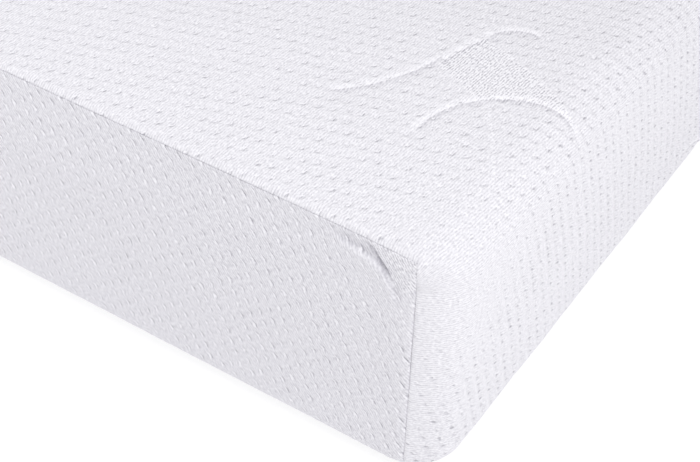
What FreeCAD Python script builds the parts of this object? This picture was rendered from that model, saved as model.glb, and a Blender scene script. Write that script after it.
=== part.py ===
import FreeCAD, Part
import os
from math import cos, pi, sin, sqrt

os.makedirs("parts", exist_ok=True)

# Single memory foam mattress: a two-layer foam core in a sewn liner, inside a zipped knitted cover.
# All sizes are in millimetres. The origin is at the centre of the underside, +Z is up, +X points
# to the foot end, and the long side at -Y is called the front.
# The cover is one skin of even thickness that is cut into its sewn panels, so the panels, the
# seams between them and the zip always meet face to face.

# ---------------------------------------------------------------- driving dimensions
# Overall size of the finished mattress
LENGTH = 1900.0
WIDTH = 900.0
DEPTH = 200.0

# Foam core and liner
COMFORT_LAYER_DEPTH = 50.0
LINER_THICKNESS = 0.8
FOAM_PLAN_RADIUS = 32.0
FOAM_END_TOP_RADIUS = 27.0
FOAM_SIDE_TOP_RADIUS = 3.0
FOAM_BOTTOM_RADIUS = 18.0

# Cover skin and the places of its seams
COVER_THICKNESS = 2.4
SEAM_WIDTH = 1.2
TOP_SEAM_BELOW_LINING = 0.6
BOTTOM_SEAM_ABOVE_LINING = 3.6
CORNER_SEAM_INSET = 22.0

# Zip across the head end
ZIP_TAPE_WIDTH = 14.0
ZIP_TAPE_THICKNESS = 0.6
ZIP_TAPE_OVERLAP = 6.0
ZIP_FLAT_MARGIN = 2.0
ZIP_CHAIN_WIDTH = 6.0
ZIP_CHAIN_THICKNESS = 2.2
ZIP_TOOTH_PITCH = 3.0
ZIP_TOOTH_GAP = 0.3
ZIP_TOOTH_MESH = 1.2
ZIP_RAIL_WIDTH = 1.3
ZIP_STOP_LENGTH = 3.0
ZIP_ABOVE_ROUNDING = 6.0
ZIP_TO_CORE_CLEARANCE = 0.4

# Zip stitching, let into the cover beside the zip
STITCH_WIDTH = 0.8
STITCH_DEPTH = 0.5
STITCH_EDGE_DISTANCE = 3.0

# Zip slider and its pull
SLIDER_LENGTH = 15.0
SLIDER_WALL = 1.0
SLIDER_CLEARANCE = 0.35
SLIDER_SIDE_GAP = 0.6
BRIDGE_LENGTH = 10.0
BRIDGE_WIDTH = 2.4
BRIDGE_WALL = 1.0
PULL_LENGTH = 30.0
PULL_WIDTH = 8.0
PULL_THICKNESS = 1.2
PULL_ARM_LENGTH = 10.0
PULL_PIN_RADIUS = 0.6
PULL_CLEARANCE = 0.4

# Blank care label, caught in a corner seam
LABEL_LENGTH = 36.0
LABEL_HEIGHT = 46.0
LABEL_THICKNESS = 0.4
LABEL_BASE_HEIGHT = 70.0

# ---------------------------------------------------------------- worked-out dimensions
HALF_LENGTH = LENGTH / 2
HALF_WIDTH = WIDTH / 2
WRAP = COVER_THICKNESS + LINER_THICKNESS
PLAN_RADIUS = FOAM_PLAN_RADIUS + WRAP
BOTTOM_RADIUS = FOAM_BOTTOM_RADIUS + WRAP
END_TOP_RADIUS = FOAM_END_TOP_RADIUS + WRAP

# The top seam runs just under the lowest point that the top's lining has between the corner seams.
HALF_SEAM = SEAM_WIDTH / 2
CORNER_SEAM_X = HALF_LENGTH - CORNER_SEAM_INSET
into_end_rounding = max(0.0, CORNER_SEAM_X + HALF_SEAM - (HALF_LENGTH - END_TOP_RADIUS))
lining_drop = END_TOP_RADIUS - sqrt((END_TOP_RADIUS - COVER_THICKNESS) ** 2 - into_end_rounding**2)
TOP_SEAM_Z = DEPTH - lining_drop - TOP_SEAM_BELOW_LINING - HALF_SEAM
BOTTOM_SEAM_Z = COVER_THICKNESS + BOTTOM_SEAM_ABOVE_LINING
WALL_REACH = max(BOTTOM_RADIUS, PLAN_RADIUS)

HALF_CHAIN = ZIP_CHAIN_WIDTH / 2
ZIP_Z = BOTTOM_RADIUS + ZIP_ABOVE_ROUNDING + ZIP_TAPE_WIDTH + HALF_CHAIN
ZIP_HALF_LENGTH = HALF_WIDTH - PLAN_RADIUS - ZIP_TAPE_OVERLAP - ZIP_FLAT_MARGIN
TAPE_X = -HALF_LENGTH + COVER_THICKNESS
CHAIN_X = TAPE_X + ZIP_TAPE_THICKNESS / 2
CHAIN_FRONT_X = CHAIN_X - ZIP_CHAIN_THICKNESS / 2
CHAIN_BACK_X = CHAIN_X + ZIP_CHAIN_THICKNESS / 2
CHAIN_HALF_LENGTH = ZIP_HALF_LENGTH - ZIP_STOP_LENGTH
HEAD_GAP = CHAIN_BACK_X + ZIP_TO_CORE_CLEARANCE - TAPE_X

SLIDER_HALF_WIDTH = HALF_CHAIN + SLIDER_CLEARANCE + SLIDER_WALL
WINDOW_HALF_HEIGHT = SLIDER_HALF_WIDTH + SLIDER_SIDE_GAP
SLIDER_REST_Y = -CHAIN_HALF_LENGTH + SLIDER_CLEARANCE + SLIDER_LENGTH / 2
SLIDER_TRAVEL = -2 * SLIDER_REST_Y
SLIDER_PLATE_X = CHAIN_FRONT_X - SLIDER_CLEARANCE - SLIDER_WALL
PULL_X = -HALF_LENGTH - PULL_CLEARANCE - PULL_THICKNESS / 2
BRIDGE_IN_X = PULL_X - PULL_PIN_RADIUS - SLIDER_CLEARANCE


# ---------------------------------------------------------------- helpers
def box(low, high):
    """The box between two opposite corners."""
    size = [b - a for a, b in zip(low, high)]
    return Part.makeBox(*size, FreeCAD.Vector(*low))


def rounded_face(low, high, radii, to_space):
    """A rectangle in a plane with a radius at each corner, anticlockwise from its low corner.

    to_space turns the plane's (u, v) into a point."""
    corners = [(low[0], low[1]), (high[0], low[1]), (high[0], high[1]), (low[0], high[1])]
    arcs = []
    for turn, ((u, v), radius) in enumerate(zip(corners, radii)):
        side_u = 1 if turn in (1, 2) else -1
        side_v = 1 if turn in (2, 3) else -1
        centre = (u - side_u * radius, v - side_v * radius)
        start = pi + turn * pi / 2
        angles = (start, start + pi / 4, start + pi / 2)
        points = [to_space(centre[0] + radius * cos(a), centre[1] + radius * sin(a)) for a in angles]
        arcs.append(Part.Arc(*points))
    edges = []
    for arc, following in zip(arcs, arcs[1:] + arcs[:1]):
        edges.append(arc.toShape())
        edges.append(Part.LineSegment(arc.EndPoint, following.StartPoint).toShape())
    return Part.Face(Part.Wire(edges))


def block(inset, head_gap=0.0):
    """The mattress's rounded block, every face set in by inset and the head end by head_gap more.

    It is what three rounded outlines share: seen from the side, from the end and from above."""
    x_low = -HALF_LENGTH + inset + head_gap
    x_high = HALF_LENGTH - inset
    y_high = HALF_WIDTH - inset
    z_low = inset
    z_high = DEPTH - inset
    grow = WRAP - inset
    base = FOAM_BOTTOM_RADIUS + grow
    end_top = FOAM_END_TOP_RADIUS + grow
    side_top = FOAM_SIDE_TOP_RADIUS + grow
    plan = FOAM_PLAN_RADIUS + grow
    side_view = rounded_face(
        (x_low, z_low), (x_high, z_high), (base, base, end_top, end_top),
        lambda u, v: FreeCAD.Vector(u, -y_high, v),
    ).extrude(FreeCAD.Vector(0, 2 * y_high, 0))
    end_view = rounded_face(
        (-y_high, z_low), (y_high, z_high), (base, base, side_top, side_top),
        lambda u, v: FreeCAD.Vector(x_low, u, v),
    ).extrude(FreeCAD.Vector(x_high - x_low, 0, 0))
    top_view = rounded_face(
        (x_low, -y_high), (x_high, y_high), (plan, plan, plan, plan),
        lambda u, v: FreeCAD.Vector(u, v, z_low),
    ).extrude(FreeCAD.Vector(0, 0, z_high - z_low))
    return side_view.common(end_view).common(top_view)


def save(node, shape):
    """Write one node's solids to its STEP file, and print its volume in cubic centimetres."""
    solids = shape.Solids
    shape = solids[0] if len(solids) == 1 else Part.makeCompound(solids)
    shape.exportStep("parts/" + node + ".step")
    print(f"{node}: {len(solids)} solid(s), {shape.Volume / 1000:.2f} cm3, valid {shape.isValid()}")


# ---------------------------------------------------------------- foam core and liner
liner_outer = block(COVER_THICKNESS, HEAD_GAP)
core = block(WRAP, HEAD_GAP)
layer_z = DEPTH - WRAP - COMFORT_LAYER_DEPTH
comfort_zone = box((-LENGTH, -WIDTH, layer_z), (LENGTH, WIDTH, DEPTH))

save("memory_foam_layer", core.common(comfort_zone))
save("base_foam", core.cut(comfort_zone))
save("inner_liner", liner_outer.cut(core))

# ---------------------------------------------------------------- cover panels and seams
skin = block(0.0).cut(block(COVER_THICKNESS))
window = box(
    (-HALF_LENGTH - 1, -ZIP_HALF_LENGTH, ZIP_Z - WINDOW_HALF_HEIGHT),
    (TAPE_X + 1, ZIP_HALF_LENGTH, ZIP_Z + WINDOW_HALF_HEIGHT),
)


def wall_zone(x_low, x_high, z_low, z_high):
    """The strip of the back long wall between two lengths and two heights."""
    return box((x_low, HALF_WIDTH - WALL_REACH, z_low), (x_high, HALF_WIDTH, z_high))


def stitch_row(side):
    """The row of zip stitching above (1) or below (-1) the zip, let into the cover's face."""
    z = ZIP_Z + side * (WINDOW_HALF_HEIGHT + STITCH_EDGE_DISTANCE)
    return box(
        (-HALF_LENGTH, -ZIP_HALF_LENGTH, z - STITCH_WIDTH / 2),
        (-HALF_LENGTH + STITCH_DEPTH, ZIP_HALF_LENGTH, z + STITCH_WIDTH / 2),
    )


head_edge_x = -CORNER_SEAM_X - HALF_SEAM
foot_edge_x = CORNER_SEAM_X + HALF_SEAM
panel_x = (-CORNER_SEAM_X + HALF_SEAM, CORNER_SEAM_X - HALF_SEAM)
panel_z = (BOTTOM_SEAM_Z + HALF_SEAM, TOP_SEAM_Z - HALF_SEAM)
top_edge_z = TOP_SEAM_Z + HALF_SEAM

upper_zone = box((-LENGTH, -WIDTH, top_edge_z), (LENGTH, WIDTH, DEPTH + 1))
foot_fall_zone = box((foot_edge_x, -WIDTH, panel_z[0]), (LENGTH, WIDTH, DEPTH + 1))
head_fall_zone = box((-LENGTH, -WIDTH, ZIP_Z + HALF_SEAM), (head_edge_x, WIDTH, DEPTH + 1))
top_panel_zone = upper_zone.fuse([foot_fall_zone, head_fall_zone]).removeSplitter()
top_panel = skin.common(top_panel_zone).cut(window).cut(stitch_row(1))
save("top_panel", top_panel)

lower_zone = box((-LENGTH, -WIDTH, -1), (LENGTH, WIDTH, BOTTOM_SEAM_Z - HALF_SEAM))
head_rise_zone = box((-LENGTH, -WIDTH, -1), (head_edge_x, WIDTH, ZIP_Z - HALF_SEAM))
bottom_panel_zone = lower_zone.fuse(head_rise_zone).removeSplitter()
bottom_panel = skin.common(bottom_panel_zone).cut(window).cut(stitch_row(-1))
save("bottom_panel", bottom_panel)

# The front wall's pieces are the back wall's, mirrored.
head_seam_x = (-CORNER_SEAM_X - HALF_SEAM, -CORNER_SEAM_X + HALF_SEAM)
foot_seam_x = (CORNER_SEAM_X - HALF_SEAM, CORNER_SEAM_X + HALF_SEAM)
wall_pieces = {
    "side_panel_{}": wall_zone(*panel_x, *panel_z),
    "top_seam_{}": wall_zone(*panel_x, panel_z[1], top_edge_z),
    "corner_seam_{}_head": wall_zone(*head_seam_x, panel_z[0], top_edge_z),
    "corner_seam_{}_foot": wall_zone(*foot_seam_x, panel_z[0], top_edge_z),
}
for name, zone in wall_pieces.items():
    back_piece = skin.common(zone)
    save(name.format("back"), back_piece)
    save(name.format("front"), back_piece.mirror(FreeCAD.Vector(0, 0, 0), FreeCAD.Vector(0, 1, 0)))

bottom_seam_zone = box((head_edge_x, -WIDTH, BOTTOM_SEAM_Z - HALF_SEAM), (LENGTH, WIDTH, panel_z[0]))
save("bottom_seam", skin.common(bottom_seam_zone))

zip_seam_zone = box((-LENGTH, -WIDTH, ZIP_Z - HALF_SEAM), (head_edge_x, WIDTH, ZIP_Z + HALF_SEAM))
save("zip_end_seams", skin.common(zip_seam_zone).cut(window))


# ---------------------------------------------------------------- zip
def zip_teeth(side):
    """One side of the closed zip: a rail along the tape with a row of teeth, as one comb.

    The upper side (1) and the lower side (-1) are half a pitch apart, so their teeth mesh."""
    rail_outer = ZIP_Z + side * HALF_CHAIN
    rail_inner = ZIP_Z + side * (HALF_CHAIN - ZIP_RAIL_WIDTH)
    tip = ZIP_Z - side * ZIP_TOOTH_MESH
    half_tooth = ZIP_TOOTH_PITCH / 4 - ZIP_TOOTH_GAP / 2
    pitches = int((2 * CHAIN_HALF_LENGTH - ZIP_TOOTH_PITCH) // ZIP_TOOTH_PITCH)
    first = -pitches * ZIP_TOOTH_PITCH / 2 + side * ZIP_TOOTH_PITCH / 4
    outline = [(-CHAIN_HALF_LENGTH, rail_outer), (-CHAIN_HALF_LENGTH, rail_inner)]
    for number in range(pitches + 1):
        y = first + number * ZIP_TOOTH_PITCH
        outline += [(y - half_tooth, rail_inner), (y - half_tooth, tip)]
        outline += [(y + half_tooth, tip), (y + half_tooth, rail_inner)]
    outline += [(CHAIN_HALF_LENGTH, rail_inner), (CHAIN_HALF_LENGTH, rail_outer)]
    points = [FreeCAD.Vector(CHAIN_FRONT_X, y, z) for y, z in outline]
    face = Part.Face(Part.makePolygon(points + points[:1]))
    return face.extrude(FreeCAD.Vector(ZIP_CHAIN_THICKNESS, 0, 0))


for side, name in ((1, "upper"), (-1, "lower")):
    tape_z = sorted((ZIP_Z + side * HALF_CHAIN, ZIP_Z + side * (HALF_CHAIN + ZIP_TAPE_WIDTH)))
    tape_half = ZIP_HALF_LENGTH + ZIP_TAPE_OVERLAP
    tape = box((TAPE_X, -tape_half, tape_z[0]), (TAPE_X + ZIP_TAPE_THICKNESS, tape_half, tape_z[1]))
    save("zip_tape_" + name, tape)
    save("zip_teeth_" + name, zip_teeth(side))
    save("zip_stitch_" + name, stitch_row(side))

for end, name in ((-1, "closed_end"), (1, "open_end")):
    stop_y = sorted((end * CHAIN_HALF_LENGTH, end * ZIP_HALF_LENGTH))
    stop = box((CHAIN_FRONT_X, stop_y[0], ZIP_Z - HALF_CHAIN), (CHAIN_BACK_X, stop_y[1], ZIP_Z + HALF_CHAIN))
    save("zip_stop_" + name, stop)

# The slider is a channel over the teeth with a bridge on its face for the pull.
slider_y = (SLIDER_REST_Y - SLIDER_LENGTH / 2, SLIDER_REST_Y + SLIDER_LENGTH / 2)
slider_back_x = TAPE_X - SLIDER_CLEARANCE
channel_half = HALF_CHAIN + SLIDER_CLEARANCE
slider = box(
    (SLIDER_PLATE_X, slider_y[0], ZIP_Z - SLIDER_HALF_WIDTH),
    (slider_back_x, slider_y[1], ZIP_Z + SLIDER_HALF_WIDTH),
)
plate_edges = [e for e in slider.Edges if abs(e.BoundBox.XLength - (slider_back_x - SLIDER_PLATE_X)) < 0.01]
slider = slider.makeFillet(2 * SLIDER_WALL, plate_edges)
channel = box(
    (SLIDER_PLATE_X + SLIDER_WALL, slider_y[0], ZIP_Z - channel_half),
    (slider_back_x, slider_y[1], ZIP_Z + channel_half),
)
bridge = box(
    (BRIDGE_IN_X - BRIDGE_WALL, SLIDER_REST_Y - BRIDGE_LENGTH / 2, ZIP_Z - BRIDGE_WIDTH / 2),
    (SLIDER_PLATE_X, SLIDER_REST_Y + BRIDGE_LENGTH / 2, ZIP_Z + BRIDGE_WIDTH / 2),
)
bridge_gap_half = BRIDGE_LENGTH / 2 - BRIDGE_WALL
bridge_gap = box(
    (BRIDGE_IN_X, SLIDER_REST_Y - bridge_gap_half, ZIP_Z - BRIDGE_WIDTH),
    (SLIDER_PLATE_X, SLIDER_REST_Y + bridge_gap_half, ZIP_Z + BRIDGE_WIDTH),
)
save("zip_slider", slider.cut(channel).fuse(bridge.cut(bridge_gap)).removeSplitter())

# The pull turns on its pin, which passes under the bridge. At rest it lies along the closed zip.
pull_z = (ZIP_Z - PULL_WIDTH / 2, ZIP_Z + PULL_WIDTH / 2)
tab = box(
    (PULL_X - PULL_THICKNESS / 2, SLIDER_REST_Y, pull_z[0]),
    (PULL_X + PULL_THICKNESS / 2, SLIDER_REST_Y + PULL_LENGTH, pull_z[1]),
)
tip_edges = [
    e for e in tab.Edges
    if abs(e.BoundBox.XLength - PULL_THICKNESS) < 0.01 and e.BoundBox.YMin > SLIDER_REST_Y + 1
]
tab = tab.makeFillet(PULL_WIDTH / 3, tip_edges)
eye_half = BRIDGE_WIDTH / 2 + PULL_CLEARANCE
eye = box(
    (PULL_X - PULL_THICKNESS, SLIDER_REST_Y - 1, ZIP_Z - eye_half),
    (PULL_X + PULL_THICKNESS, SLIDER_REST_Y + PULL_ARM_LENGTH, ZIP_Z + eye_half),
)
pin_base = FreeCAD.Vector(PULL_X, SLIDER_REST_Y, pull_z[0])
pin = Part.makeCylinder(PULL_PIN_RADIUS, PULL_WIDTH, pin_base, FreeCAD.Vector(0, 0, 1))
save("zip_pull", tab.cut(eye).fuse(pin).removeSplitter())

# ---------------------------------------------------------------- care label
label_x = -CORNER_SEAM_X + HALF_SEAM
label = box(
    (label_x, HALF_WIDTH, LABEL_BASE_HEIGHT),
    (label_x + LABEL_LENGTH, HALF_WIDTH + LABEL_THICKNESS, LABEL_BASE_HEIGHT + LABEL_HEIGHT),
)
save("care_label", label)

print(f"zip axis height {ZIP_Z:.2f}, slider travel {SLIDER_TRAVEL:.2f}")
print(f"pull hinge at {PULL_X:.2f}, {SLIDER_REST_Y:.2f}, {ZIP_Z:.2f}")
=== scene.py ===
# %% [markdown]
# # A memory foam mattress in a dimpled knitted cover
#
# The mattress is a block of foam inside a sewn cover. The cover is what shows, so this lesson
# spends most of its steps on cloth: a top panel that wraps over both ends, two sewn-in walls,
# a base cloth, the seams between them and a zip across the head end.
#
# The fixed frame comes first. It gives every size, so nothing here is placed by eye.

# %% Load the frame
from math import asin, cos, pi, radians, sin, sqrt

import bmesh
import bpy
import numpy as np
from mathutils import Matrix, Vector


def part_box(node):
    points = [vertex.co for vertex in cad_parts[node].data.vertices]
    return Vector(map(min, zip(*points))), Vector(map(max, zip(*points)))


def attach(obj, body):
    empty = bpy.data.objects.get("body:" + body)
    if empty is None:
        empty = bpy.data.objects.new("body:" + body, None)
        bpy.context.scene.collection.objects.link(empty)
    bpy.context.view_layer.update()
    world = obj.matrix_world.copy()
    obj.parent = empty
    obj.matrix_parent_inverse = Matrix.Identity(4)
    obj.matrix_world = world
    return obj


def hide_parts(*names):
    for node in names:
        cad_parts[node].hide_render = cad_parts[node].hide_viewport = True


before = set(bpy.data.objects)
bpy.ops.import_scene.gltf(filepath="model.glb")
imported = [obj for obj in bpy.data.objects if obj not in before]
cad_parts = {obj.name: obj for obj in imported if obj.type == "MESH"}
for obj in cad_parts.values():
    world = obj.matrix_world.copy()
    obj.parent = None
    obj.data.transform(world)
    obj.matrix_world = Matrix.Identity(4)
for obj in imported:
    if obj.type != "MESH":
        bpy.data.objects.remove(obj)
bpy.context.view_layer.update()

MM = 0.001


def middle(node, axis):
    """The middle of a frame node's box along one axis."""
    low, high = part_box(node)
    return (low[axis] + high[axis]) / 2


HALF_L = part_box("top_panel")[1].x
HALF_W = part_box("side_panel_back")[1].y
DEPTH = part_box("top_panel")[1].z
CORNER_X = middle("corner_seam_front_foot", 0) - 2 * MM
BASE_SEAM_Z = middle("bottom_seam", 2) - 2.4 * MM
ZIP_Z = middle("zip_end_seams", 2)
print(f"half length {HALF_L:.4f}, half width {HALF_W:.4f}, depth {DEPTH:.4f}, corner seam {CORNER_X:.4f}")

# %% [markdown]
# ## Camera, light and floor
#
# The camera is set first, because every later choice of detail depends on what it sees: one
# corner of the mattress from above, close up. A long lens keeps the edges nearly parallel.

# %% Camera
scene = bpy.context.scene
scene.view_settings.view_transform = "Standard"

LENS = 82.56
AZIMUTH = radians(31.67)
ELEVATION = radians(42.37)
ROLL = radians(2.1)
AIM = Vector((HALF_L - 67.74 * MM, -HALF_W - 3.76 * MM, DEPTH))
DISTANCE = 937.1 * MM

back = Vector((sin(AZIMUTH) * cos(ELEVATION), -cos(AZIMUTH) * cos(ELEVATION), sin(ELEVATION)))
level = Vector((cos(AZIMUTH), sin(AZIMUTH), 0))
upright = back.cross(level)
right = cos(ROLL) * level + sin(ROLL) * upright
up = -sin(ROLL) * level + cos(ROLL) * upright

camera = bpy.data.objects.new("camera", bpy.data.cameras.new("camera"))
scene.collection.objects.link(camera)
camera.data.lens = LENS
camera.data.clip_start = 0.02
turn = Matrix((right, up, back)).transposed().to_4x4()
camera.matrix_world = Matrix.Translation(AIM + back * DISTANCE) @ turn
scene.camera = camera
print("camera at", tuple(round(c, 3) for c in camera.matrix_world.translation))

# %% [markdown]
# The light is an even white surround with three soft panels. The one above the front edge makes
# the top brighter than the wall. The one beyond the foot end lights the end and the soft edge, and
# gives each dimple its shaded side. The weak one in front lifts the far part of the wall.

# %% Light
def softbox(name, place, aim, width, length, watts):
    """A rectangular area light at place that faces aim."""
    lamp = bpy.data.lights.new(name, "AREA")
    lamp.shape = "RECTANGLE"
    lamp.size = width
    lamp.size_y = length
    lamp.energy = watts
    holder = bpy.data.objects.new(name, lamp)
    scene.collection.objects.link(holder)
    holder.location = place
    holder.rotation_euler = (Vector(aim) - Vector(place)).to_track_quat("-Z", "Y").to_euler()
    return holder


world = bpy.data.worlds.new("studio")
world.use_nodes = True
world.node_tree.nodes["Background"].inputs["Color"].default_value = (1.0, 1.0, 1.0, 1.0)
world.node_tree.nodes["Background"].inputs["Strength"].default_value = 0.75
scene.world = world
corner = Vector((HALF_L, -HALF_W, DEPTH))
# Each light: place and aim measured from the near corner, width, length (all in metres) and watts.
LIGHTS = {
    "top_light": ((-0.43, -0.14, 0.6), (-0.44, 0, 0), 1.05, 0.3, 1.4),
    "end_light": ((0.75, -0.06, 0.55), (0, 0.05, -0.05), 0.5, 0.4, 2.75),
    "front_light": ((-1.05, -0.65, 0.3), (-0.6, 0, -0.05), 0.5, 0.3, 0.8),
}
for name, (place, aim, width, length, watts) in LIGHTS.items():
    softbox(name, corner + Vector(place), corner + Vector(aim), width, length, watts)


# %% [markdown]
# Most of the meshes here are grids: rows and columns of points, joined by quads. One function
# works out the quads, and another makes the object.

# %% Grid helper and floor
def grid_faces(rows, columns):
    """Corner numbers of the quads of a grid: each quad joins a point to its right, diagonal and upper one."""
    corner = np.arange((rows - 1) * columns).reshape(rows - 1, columns)[:, :-1].ravel()
    return np.stack((corner, corner + 1, corner + columns + 1, corner + columns), axis=1)


def tube_faces(rings, sides):
    """Corner numbers of the quads of a tube: a grid whose last column is joined to its first one."""
    corner = np.arange((rings - 1) * sides)
    beside = corner - corner % sides + (corner + 1) % sides
    return np.stack((corner, corner + sides, beside + sides, beside), axis=1)


def mesh_object(name, points, faces, uv=None, flip=False):
    """An object from an array of points and an array of quads, with an optional metric UV per point."""
    points = np.ascontiguousarray(points, dtype=np.float32).reshape(-1, 3)
    faces = np.asarray(faces, dtype=np.int32)
    if flip:
        faces = faces[:, ::-1]
    sides = faces.shape[1]
    mesh = bpy.data.meshes.new(name)
    mesh.vertices.add(len(points))
    mesh.vertices.foreach_set("co", points.ravel())
    mesh.loops.add(faces.size)
    mesh.loops.foreach_set("vertex_index", np.ascontiguousarray(faces).ravel())
    mesh.polygons.add(len(faces))
    mesh.polygons.foreach_set("loop_start", np.arange(0, faces.size, sides, dtype=np.int32))
    mesh.polygons.foreach_set("use_smooth", np.ones(len(faces), dtype=bool))
    if uv is not None:
        layer = mesh.uv_layers.new(name="cloth")
        layer.uv.foreach_set("vector", np.asarray(uv, dtype=np.float32).reshape(-1, 2)[faces].ravel())
    mesh.update(calc_edges=True)
    mesh.validate()
    made = bpy.data.objects.new(name, mesh)
    scene.collection.objects.link(made)
    print(f"{name}: {len(points)} points, {len(faces)} faces")
    return made


span = np.linspace(-30, 30, 9)
floor_x, floor_y = np.meshgrid(span, span)
floor = mesh_object("floor", np.stack((floor_x, floor_y, 0 * floor_x), axis=-1), grid_faces(9, 9))


def plain_material(name, colour, roughness):
    """A new material with a Principled BSDF; returns the material, its nodes and the shader."""
    material = bpy.data.materials.new(name)
    material.use_nodes = True
    tree = material.node_tree
    shader = tree.nodes["Principled BSDF"]
    shader.inputs["Base Color"].default_value = (*colour, 1.0)
    shader.inputs["Roughness"].default_value = roughness
    return material, tree, shader


floor_material, _, floor_shader = plain_material("pale_floor", (0.35, 0.35, 0.35), 0.9)
floor_shader.inputs["Emission Color"].default_value = (1.0, 1.0, 1.0, 1.0)
floor_shader.inputs["Emission Strength"].default_value = 0.71
floor.data.materials.append(floor_material)

# %% [markdown]
# ## The shape of the cover
#
# The block has three kinds of rounding. The long top edges are nearly sharp, because a seam runs
# there. The end top edges are soft, because the top panel simply bends over them. The upright
# corners are the softest. All of them come from one idea: a cross-section that starts at a seam,
# turns through an arc of a given radius and then runs straight.

# %% Roundings
END_RADIUS = 30.2 * MM
BASE_RADIUS = 21.2 * MM
CORNER_RADIUS = 35.2 * MM
SEAM_DROP = 3.6 * MM
SEAM_DROOP = 2.6 * MM
SEAM_DROOP_REACH = 28 * MM
CROWN = 4.6 * MM
CROWN_REACH_SIDE = 60 * MM
CROWN_REACH_END = 85 * MM
WALL_BULGE = 2.6 * MM
BULGE_REACH = 50 * MM
SEAM_SINK = 0.7 * MM
SEAM_SOFT = 1.0 * MM
SEAM_INSET = HALF_L - CORNER_X
START_ANGLE = asin(1 - SEAM_INSET / CORNER_RADIUS)
FINE = 3.0 * MM
COARSE = 10.0 * MM


def smooth(low, high, value):
    """0 below low, 1 above high and a smooth S between them: 3t^2 - 2t^3."""
    t = np.clip((value - low) / (high - low), 0, 1)
    return t * t * (3 - 2 * t)


def waves(x, y, size, seed, count=7):
    """Gentle random swells about size across, between about -1 and 1: a sum of sines at random bearings."""
    source = np.random.default_rng(seed)
    total = np.zeros(np.broadcast(x, y).shape)
    for _ in range(count):
        bearing = source.uniform(0, 2 * pi)
        length = size * source.uniform(0.7, 1.6)
        phase = source.uniform(0, 2 * pi)
        total += np.sin(2 * pi * (x * cos(bearing) + y * sin(bearing)) / length + phase)
    return total / sqrt(count) / 1.4


SEAM_STEPS = np.array([0, 0.5, 1.0, 1.6, 2.3, 3.2, 4.4, 6.0]) * MM


def marks(*zones, seam_low=False, seam_high=False):
    """Sample places along a line. Each zone is (low, high, step) and gives whole multiples of its step.

    An end with a seam gets the closer places of SEAM_STEPS; any other end gets its own last place."""
    places = np.concatenate([np.arange(np.ceil(a / s), np.floor(b / s) + 1) * s for a, b, s in zones])
    low, high = zones[0][0], zones[-1][1]
    ends_low = low + SEAM_STEPS if seam_low else np.array([low])
    ends_high = (high - SEAM_STEPS)[::-1] if seam_high else np.array([high])
    places = np.unique(np.round(places, 7))
    places = places[(places > ends_low[-1] + 1.2 * MM) & (places < ends_high[0] - 1.2 * MM)]
    return np.concatenate((ends_low, places[np.append(True, np.diff(places) > 0.7 * MM)], ends_high))


def drop_of_seam(x):
    """How far the long top seam is below the top: a set drop, and a droop that grows towards each corner."""
    return SEAM_DROP + SEAM_DROOP * np.exp(-(CORNER_X - np.abs(x)) / SEAM_DROOP_REACH)


# %% [markdown]
# ### The dimples
#
# The dimples sit on a slanted lattice, about 10 mm apart, that the knitting machine makes. The
# same lattice is used twice: here, to press real dimples into the mesh, and in the material, for
# the painted highlight fleck and the painted shade of each of them. The mesh is fine enough for them over the foot
# end's front quarter and on both walls; on the rest of the top the material's relief makes them.

# %% Dimples
TOP_ROWS = np.array(((9.0, 3.0), (3.0, 12.0))) * MM
WALL_ROWS = np.array(((-3.0, 9.0), (10.5, -3.0))) * MM
DIMPLE_DEPTH = 1.15 * MM


def dimple(u, v, rows):
    """Depth of the quilted dimples at cloth coordinates (u, v), from 0 on the swellings to 1 in a dimple.

    The point is written in whole and part steps (s, t) of the two rows. The sum of the cosines of s,
    of t and of their difference is highest on the lattice and lowest in the middle of each triangle."""
    inverse = np.linalg.inv(rows)
    s = u * inverse[0, 0] + v * inverse[1, 0]
    t = u * inverse[0, 1] + v * inverse[1, 1]
    total = np.cos(2 * pi * s) + np.cos(2 * pi * t) + np.cos(2 * pi * (s - t))
    return (np.clip(total + 1.5, 0, None) / 4.5) ** 1.6


# %% [markdown]
# ### The knitted figure
#
# Now and then the dimples stop for a figure: two crossing bows round a smooth four-sided patch.
# Each line of it is part of a circle, so a few centres, radii and angles hold the whole figure.
# The figure repeats in staggered rows.

# %% Figure lines
FIGURE_PLACE = np.array((-44.0, -282.5)) * MM
FIGURE_ROWS = np.array(((480.0, 0.0), (240.0, 280.0))) * MM

# Each line: centre, radius, first and last angle in degrees, and the side of the raised edge.
BOWS = [
    ((-154, 24), 120, -50, -9, -1),
    ((125.5, -25.8), 160, 154, 172, 1),
    ((4, 37), 25.7, 85, 172, 1),
    ((58, -68), 68, 76, 184, 1),
]
DOTTED = [
    ((-139, -347), 403, 58, 73),
    ((-101, -192), 200, 57.5, 69.5),
    ((19, 90), 61.5, 196, 229),
    ((-218, -215), 301, 25, 38.5),
]

# The patch lies inside (-1) or outside (1) each of these circles, and within PATCH_REACH of the middle.
PATCH_BOUNDS = [(BOWS[1], -1), (BOWS[3], 1), (DOTTED[0], -1), (DOTTED[1], 1)]
PATCH_SOFT = 1.5 * MM
PATCH_REACH = (100 * MM, 90 * MM)
EDGE_HEIGHT = 1.6 * MM
EDGE_WIDTH = 5 * MM


def figure_place(u, v):
    """Cloth coordinates measured from the nearest figure: whole steps of the figure's rows are taken off."""
    inverse = np.linalg.inv(FIGURE_ROWS)
    x, y = u - FIGURE_PLACE[0], v - FIGURE_PLACE[1]
    s = np.round(x * inverse[0, 0] + y * inverse[1, 0])
    t = np.round(x * inverse[0, 1] + y * inverse[1, 1])
    return x - s * FIGURE_ROWS[0, 0] - t * FIGURE_ROWS[1, 0], y - s * FIGURE_ROWS[0, 1] - t * FIGURE_ROWS[1, 1]


def arc_gap(x, y, centre, radius):
    """Distance from a circle, positive outside it."""
    return np.hypot(x - centre[0] * MM, y - centre[1] * MM) - radius * MM


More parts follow.
